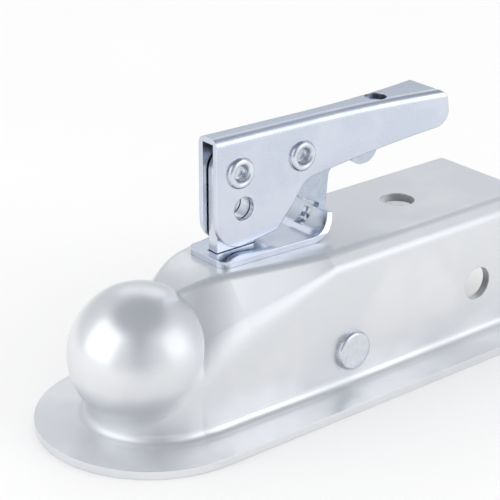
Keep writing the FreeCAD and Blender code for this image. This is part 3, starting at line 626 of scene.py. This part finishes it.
@dataclass
class Clamp:
    """Jaw under the ball, and the spring that presses it down, in millimetres."""

    wire_radius: float = 1.1
    turns: float = 5.5
    end_turns: float = 0.8
    end_pitch: float = 2.1
    steps_in_turn: int = 40
    stretch_share: float = 0.52

    def spring_path(self) -> list[Vector]:
        """Middle line of the spring, with a closed turn at each end.

        Returns:
            Points of the line, in metres.
        """
        low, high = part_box("clamp_spring")
        middle = (low + high) / 2
        radius = (high.x - low.x) / 2 - self.wire_radius * MM
        start, rise = low.z + self.wire_radius * MM, high.z - low.z - 2 * self.wire_radius * MM
        count = int(self.turns * self.steps_in_turn)
        share = self.end_turns / self.turns
        closed = self.end_pitch * self.wire_radius * MM * self.end_turns
        path = []
        for step in range(count + 1):
            part = step / count
            climb = min(max((part - share) / (1 - 2 * share), 0.0), 1.0)
            flat = closed * (min(part, share) / share + max(part - 1 + share, 0.0) / share)
            angle = math.tau * self.turns * part
            height = start + flat + (rise - 2 * closed) * climb
            ahead, aside = middle.x + radius * math.cos(angle), middle.y + radius * math.sin(angle)
            path.append(Vector((ahead, aside, height)))
        return path

    def build(self, workshop: Workshop) -> None:
        """Wind the spring.

        Args:
            workshop: Puts finishes on pieces.
        """
        spring = wire("clamp_spring_wound", self.spring_path(), self.wire_radius * MM)
        workshop.dress_piece(spring, Slot.SPRING)
        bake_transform(spring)
        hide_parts("clamp_spring")

    def dress(self, workshop: Workshop) -> None:
        """Put the finish on the jaw."""
        workshop.dress_node("ball_clamp", Slot.CLAMP)


@dataclass
class DrawBolt:
    """Draw bolt with its threaded shank, washer and lock nut, in millimetres."""

    pitch: float = 1.5
    rows_in_pitch: int = 8
    thread_depth: float = 0.35
    thread_crest: float = 1.4
    thread_sink: float = 0.02
    shank_radius: float = 5.0
    collar_radius: float = 7.6
    collar_height: float = 2.2
    collar_chamfer: float = 0.8
    seat_step: float = 0.2
    bore_gap: float = 0.1
    bore_chamfer: float = 0.6
    chamfer: float = 1.1

    def build(self, workshop: Workshop) -> None:
        """Cut the thread and make the lock nut.

        Args:
            workshop: Puts finishes on pieces.
        """
        low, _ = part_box("draw_bolt")
        nut_low, nut_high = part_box("adjusting_nut")
        self.cut_thread(workshop, low.z / MM, nut_low.z / MM)
        self.make_nut(workshop, nut_low, nut_high)

    def cut_thread(self, workshop: Workshop, bottom: float, top: float) -> None:
        """Wind the thread on the free end of the shank.

        Args:
            workshop: Puts finishes on pieces.
            bottom: Lower end, in millimetres.
            top: Upper end, in millimetres.
        """
        centre = Vector((middle_of("adjusting_nut").x, 0.0, 0.0))
        rows = int((top - bottom) / self.pitch * self.rows_in_pitch)
        profile = [(self.shank_radius, bottom + (top - bottom) * row / rows) for row in range(rows + 1)]

        def ridge(radius: float, place: float, angle: float) -> float:
            """Radius of the thread at a place.

            Args:
                radius: Radius of the shank.
                place: Height on the shank, in millimetres.
                angle: Angle round the shank.

            Returns:
                The radius there.
            """
            turn = (place / self.pitch - angle / math.tau) % 1.0
            rise = 1.0 - abs(turn * 2.0 - 1.0)
            ends = min(place - bottom, 1.0)
            return radius + self.thread_depth * (min(rise * self.thread_crest, 1.0) * ends - self.thread_sink)

        thread = turned("shank_thread", profile, centre, Axis.UP, around=48, reach=ridge)
        workshop.dress_piece(thread, Slot.BOLT, Body.DRAW_BOLT)

    def make_nut(self, workshop: Workshop, low: Vector, high: Vector) -> None:
        """Make a hexagon nut with chamfered corners and a round collar below.

        Args:
            workshop: Puts finishes on pieces.
            low: Lowest corner of the solid it stands for.
            high: Highest corner of that solid.
        """
        flat = (high.y - low.y) / 2 / MM
        corner = flat / math.cos(HALF_FLAT)
        bottom, top = low.z / MM, high.z / MM
        seat, collar = bottom + self.collar_height, self.collar_radius
        bore = self.shank_radius + self.bore_gap
        mouth, face = bore + self.bore_chamfer, flat - self.seat_step
        profile = [
            (bore, bottom + self.bore_chamfer), (mouth, bottom), (collar - self.collar_chamfer, bottom),
            (collar, bottom + self.collar_chamfer), (collar, seat - self.seat_step), (face, seat),
            (corner, seat + self.chamfer), (corner, top - self.chamfer), (face, top), (mouth, top),
            (bore, top - self.bore_chamfer),
        ]

        def hexagon(radius: float, place: float, angle: float) -> float:
            """Radius at an angle, cut off by the six flats."""
            turn = (angle + HALF_FLAT) % (2 * HALF_FLAT) - HALF_FLAT
            return min(radius, flat / math.cos(HALF_FLAT - abs(turn)))

        centre = Vector((middle_of("adjusting_nut").x, 0.0, 0.0))
        nut = turned("lock_nut", profile, centre, Axis.UP, around=72, reach=hexagon)
        workshop.dress_piece(nut, Slot.BOLT, Body.DRAW_BOLT)
        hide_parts("adjusting_nut")

    def dress(self, workshop: Workshop) -> None:
        """Put the finishes on the bolt's own solids."""
        workshop.dress_node("draw_bolt", Slot.BOLT)
        workshop.dress_node("nut_washer", Slot.BOLT)


@dataclass
class Latch:
    """Plate on the ridge, and the folded lever with its rivets, in millimetres."""

    rivets: tuple[str, ...] = ("lever_rivet", "trigger_rivet")
    roll_height: float = 1.9
    roll_steps: int = 14
    bore_radius: float = 3.0
    bore_depth: float = 3.4
    bore_chamfer: float = 0.5
    cap_radius: float = 0.1
    head_round: float = 1.3
    shank_radius: float = 4.0

    def rivet_profile(self, tip: float, head: float) -> list[Place]:
        """Profile of a semi-tubular rivet, from the floor of its bore to the far head.

        Args:
            tip: Half its length, in millimetres.
            head: Radius of its heads, in millimetres.

        Returns:
            Radius and place of each ring.
        """
        wall, floor = tip - self.roll_height, -tip + self.bore_depth
        rim = (head - self.bore_radius) / 2
        middle = self.bore_radius + rim
        profile = [(self.cap_radius, floor), (self.bore_radius - self.bore_chamfer, floor),
                   (self.bore_radius, floor - self.bore_chamfer)]
        for step in range(self.roll_steps + 1):
            angle = math.pi * step / self.roll_steps
            profile.append((middle - rim * math.cos(angle), -wall - self.roll_height * math.sin(angle)))
        profile += [(self.shank_radius, -wall), (self.shank_radius, wall), (head, wall)]
        crown = rounded_corner(head, tip, self.head_round, 1.0)
        return profile + list(reversed(crown)) + [(self.cap_radius, tip)]

    def build(self, workshop: Workshop) -> None:
        """Turn both rivets, each with a rolled, hollow end on the near side.

        Args:
            workshop: Puts finishes on pieces.
        """
        for node in self.rivets:
            low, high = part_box(node)
            tip, head = (high.y - low.y) / 2 / MM, (high.x - low.x) / 2 / MM
            rivet = turned(f"{node}_rolled", self.rivet_profile(tip, head), middle_of(node), Axis.ACROSS)
            workshop.dress_piece(rivet, Slot.RIVET, Body.LEVER)
            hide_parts(node)

    def dress(self, workshop: Workshop) -> None:
        """Put the finishes on plate and lever."""
        workshop.dress_node("latch_plate", Slot.LATCH)
        workshop.dress_node("lever", Slot.LATCH)


@dataclass
class Trigger:
    """Trigger with its washer and its torsion spring, in millimetres and degrees."""

    wire_radius: float = 0.45
    wound_angle: float = 270.0
    steps: int = 48

    def build(self, workshop: Workshop) -> None:
        """Wind the torsion spring round the rivet, with a straight arm at each end.

        Args:
            workshop: Puts finishes on pieces.
        """
        low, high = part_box("trigger_spring")
        hub = middle_of("trigger_rivet")
        radius = hub.x - low.x - self.wire_radius * MM
        beside = (low.y + high.y) / 2
        centre = Vector((hub.x, beside, hub.z))
        path = [Vector((centre.x - radius, beside, high.z - self.wire_radius * MM))]
        for step in range(self.steps + 1):
            angle = math.pi + math.radians(self.wound_angle) * step / self.steps
            path.append(centre + Vector((radius * math.cos(angle), 0.0, radius * math.sin(angle))))
        path.append(Vector((high.x - self.wire_radius * MM, beside, centre.z + radius)))
        spring = wire("trigger_spring_wound", path, self.wire_radius * MM)
        workshop.dress_piece(spring, Slot.SPRING, Body.LEVER)
        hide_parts("trigger_spring")

    def dress(self, workshop: Workshop) -> None:
        """Put the finishes on trigger and washer."""
        workshop.dress_node("trigger", Slot.TRIGGER)
        workshop.dress_node("trigger_washer", Slot.TRIGGER)


@dataclass(frozen=True)
class Softbox:
    """Soft lamp, placed from the part's middle along the camera's own directions, in metres."""

    name: str
    back: float
    right: float
    up: float
    size: tuple[float, float]
    power: float


SOFTBOXES: tuple[Softbox, ...] = (
    Softbox("left_softbox", back=0.5, right=-0.85, up=0.25, size=(1.0, 0.9), power=2.4),
    Softbox("right_softbox", back=0.45, right=0.85, up=0.2, size=(0.7, 0.7), power=1.6),
    Softbox("rear_softbox", back=-0.5, right=0.0, up=0.9, size=(0.9, 0.5), power=0.6),
)


@dataclass(frozen=True)
class Surround:
    """White surround, with the darker gap, rear and ceiling of a studio where metal mirrors it."""

    plain: Colour = (1.0, 1.0, 1.0, 1.0)
    pale: Colour = (0.80, 0.82, 0.85, 1.0)
    dark: Colour = (0.18, 0.21, 0.26, 1.0)
    gap_aside: float = 0.05
    gap_edge: Span = (0.34, 0.12)
    gap_facing: Span = (0.1, 0.5)
    gap_depth: float = 0.85
    rear_facing: Span = (-0.2, -0.6)
    rear_height: Span = (0.02, 0.2)
    rear_depth: float = 0.26
    ceiling_height: Span = (0.7, 0.88)
    ceiling_depth: float = 0.92
    strength: float = 0.9
    camera_extra: float = 0.08

    def build(self, right: Vector, back: Vector) -> None:
        """Make the world.

        Args:
            right: Direction to the camera's right.
            back: Direction from the part to the camera.
        """
        world = bpy.data.worlds.new("studio")
        bpy.context.scene.world = world
        world.use_nodes = True
        tree = world.node_tree
        tree.nodes.clear()
        ray = add_node(tree, "ShaderNodeTexCoord").outputs["Generated"]
        height = put(tree, add_node(tree, "ShaderNodeSeparateXYZ"), Vector=ray).outputs["Z"]
        facing = dot(tree, ray, tuple(Vector((back.x, back.y, 0.0)).normalized()))
        aside = dot(tree, ray, tuple(right))
        off = maths(tree, "ABSOLUTE", maths(tree, "SUBTRACT", aside, self.gap_aside))
        gap = maths(tree, "MULTIPLY", spread(tree, off, *self.gap_edge, 0.0, self.gap_depth),
                    spread(tree, facing, *self.gap_facing))
        rear = maths(tree, "MULTIPLY", spread(tree, facing, *self.rear_facing, 0.0, self.rear_depth),
                     spread(tree, height, *self.rear_height))
        ceiling = spread(tree, height, *self.ceiling_height, 0.0, self.ceiling_depth)
        shade = maths(tree, "MAXIMUM", maths(tree, "MAXIMUM", gap, rear), ceiling)
        mirrored = mixed(tree, shade, self.pale, self.dark)
        path = add_node(tree, "ShaderNodeLightPath")
        seen = mixed(tree, path.outputs["Is Glossy Ray"], self.plain, mirrored)
        glow = maths(tree, "MULTIPLY_ADD", path.outputs["Is Camera Ray"], self.camera_extra, self.strength)
        shader = put(tree, add_node(tree, "ShaderNodeBackground"), Color=seen, Strength=glow)
        output = add_node(tree, "ShaderNodeOutputWorld")
        tree.links.new(shader.outputs[0], output.inputs[0])


@dataclass
class Studio:
    """Floor and lamps in metres, and a camera in degrees and millimetres."""

    azimuth: float = -39.126
    elevation: float = 23.425
    distance: float = 674.73
    shift_right: float = 41.354
    shift_up: float = 38.869
    lens: float = 128.961
    sensor: float = 36.0
    clip: Span = (0.01, 20.0)
    floor_size: float = 6.0
    floor_tint: Colour = (0.93, 0.93, 0.935, 1.0)
    speckle_tint: Colour = (0.96, 0.96, 0.96, 1.0)
    speckle_scale: float = 40.0
    floor_fade: Span = (0.7, 1.9)

    def directions(self) -> tuple[Vector, Vector, Vector]:
        """Directions of the camera.

        Returns:
            Its right, its up and its back.
        """
        turn, lift = math.radians(self.azimuth), math.radians(self.elevation)
        back = Vector((math.sin(turn) * math.cos(lift), -math.cos(turn) * math.cos(lift), math.sin(lift)))
        right = Vector((0.0, 0.0, 1.0)).cross(back).normalized()
        return right, back.cross(right), back

    def build(self) -> None:
        """Set up the whole studio."""
        right, _, back = self.directions()
        self.lay_floor()
        self.light()
        Surround().build(right, back)
        self.place_camera()

    def lay_floor(self) -> None:
        """Lay a pale matt floor under the flange, which fades into the backdrop far off."""
        level, half = CAD_BOX[0].z, self.floor_size / 2
        outline = ((-half, -half), (half, -half), (half, half), (-half, half))
        corners = [Vector((x, y, level)) for x, y in outline]
        floor = new_piece("floor", corners, [(0, 1, 2, 3)])
        made = bpy.data.materials.new("pale_floor")
        made.use_nodes = True
        tree = made.node_tree
        speckle = noise(tree, Scale=self.speckle_scale, Detail=2.0)
        colour = mixed(tree, speckle, self.floor_tint, self.speckle_tint)
        where = add_node(tree, "ShaderNodeTexCoord").outputs["Object"]
        length = add_node(tree, "ShaderNodeVectorMath", operation="LENGTH")
        away = put(tree, length, i0=where).outputs["Value"]
        put(tree, tree.nodes["Principled BSDF"], Base_Color=colour, Roughness=0.9, Specular_IOR_Level=0.1,
            Alpha=spread(tree, away, *self.floor_fade, 1.0, 0.0))
        floor.data.materials.append(made)
        log.info("%s: %s", floor.name, made.name)

    def light(self) -> None:
        """Hang a wide soft lamp on each side of the camera and one behind."""
        right, up, back = self.directions()
        aim = (CAD_BOX[0] + CAD_BOX[1]) / 2
        for box in SOFTBOXES:
            place = aim + back * box.back + right * box.right + up * box.up
            data = bpy.data.lights.new(box.name, "AREA")
            data.shape = "RECTANGLE"
            data.size, data.size_y = box.size
            data.energy = box.power
            lamp = bpy.data.objects.new(box.name, data)
            bpy.context.scene.collection.objects.link(lamp)
            turn = (aim - place).to_track_quat("-Z", "Y").to_matrix().to_4x4()
            lamp.matrix_world = Matrix.Translation(place) @ turn
            log.info("%s: %.1f W", box.name, box.power)

    def place_camera(self) -> None:
        """Put the camera where the photograph was taken from."""
        right, up, back = self.directions()
        eye = (back * self.distance + right * self.shift_right + up * self.shift_up) * MM
        data = bpy.data.cameras.new("camera")
        data.lens = self.lens
        data.sensor_width = self.sensor
        data.clip_start, data.clip_end = self.clip
        camera = bpy.data.objects.new("camera", data)
        bpy.context.scene.collection.objects.link(camera)
        turn = Matrix((right, up, back)).transposed().to_4x4()
        camera.matrix_world = Matrix.Translation(eye) @ turn
        bpy.context.scene.camera = camera


def main() -> None:
    """Build and dress each sub-assembly, then the studio."""
    logging.basicConfig(level=logging.INFO, format="%(name)s %(message)s")
    bpy.context.scene.view_settings.view_transform = "Standard"
    workshop = Workshop()
    workshop.prepare()
    for assembly in (Housing(), Clamp(), DrawBolt(), Latch(), Trigger()):
        assembly.build(workshop)
        assembly.dress(workshop)
    Studio().build()


if __name__ == "__main__":
    main()
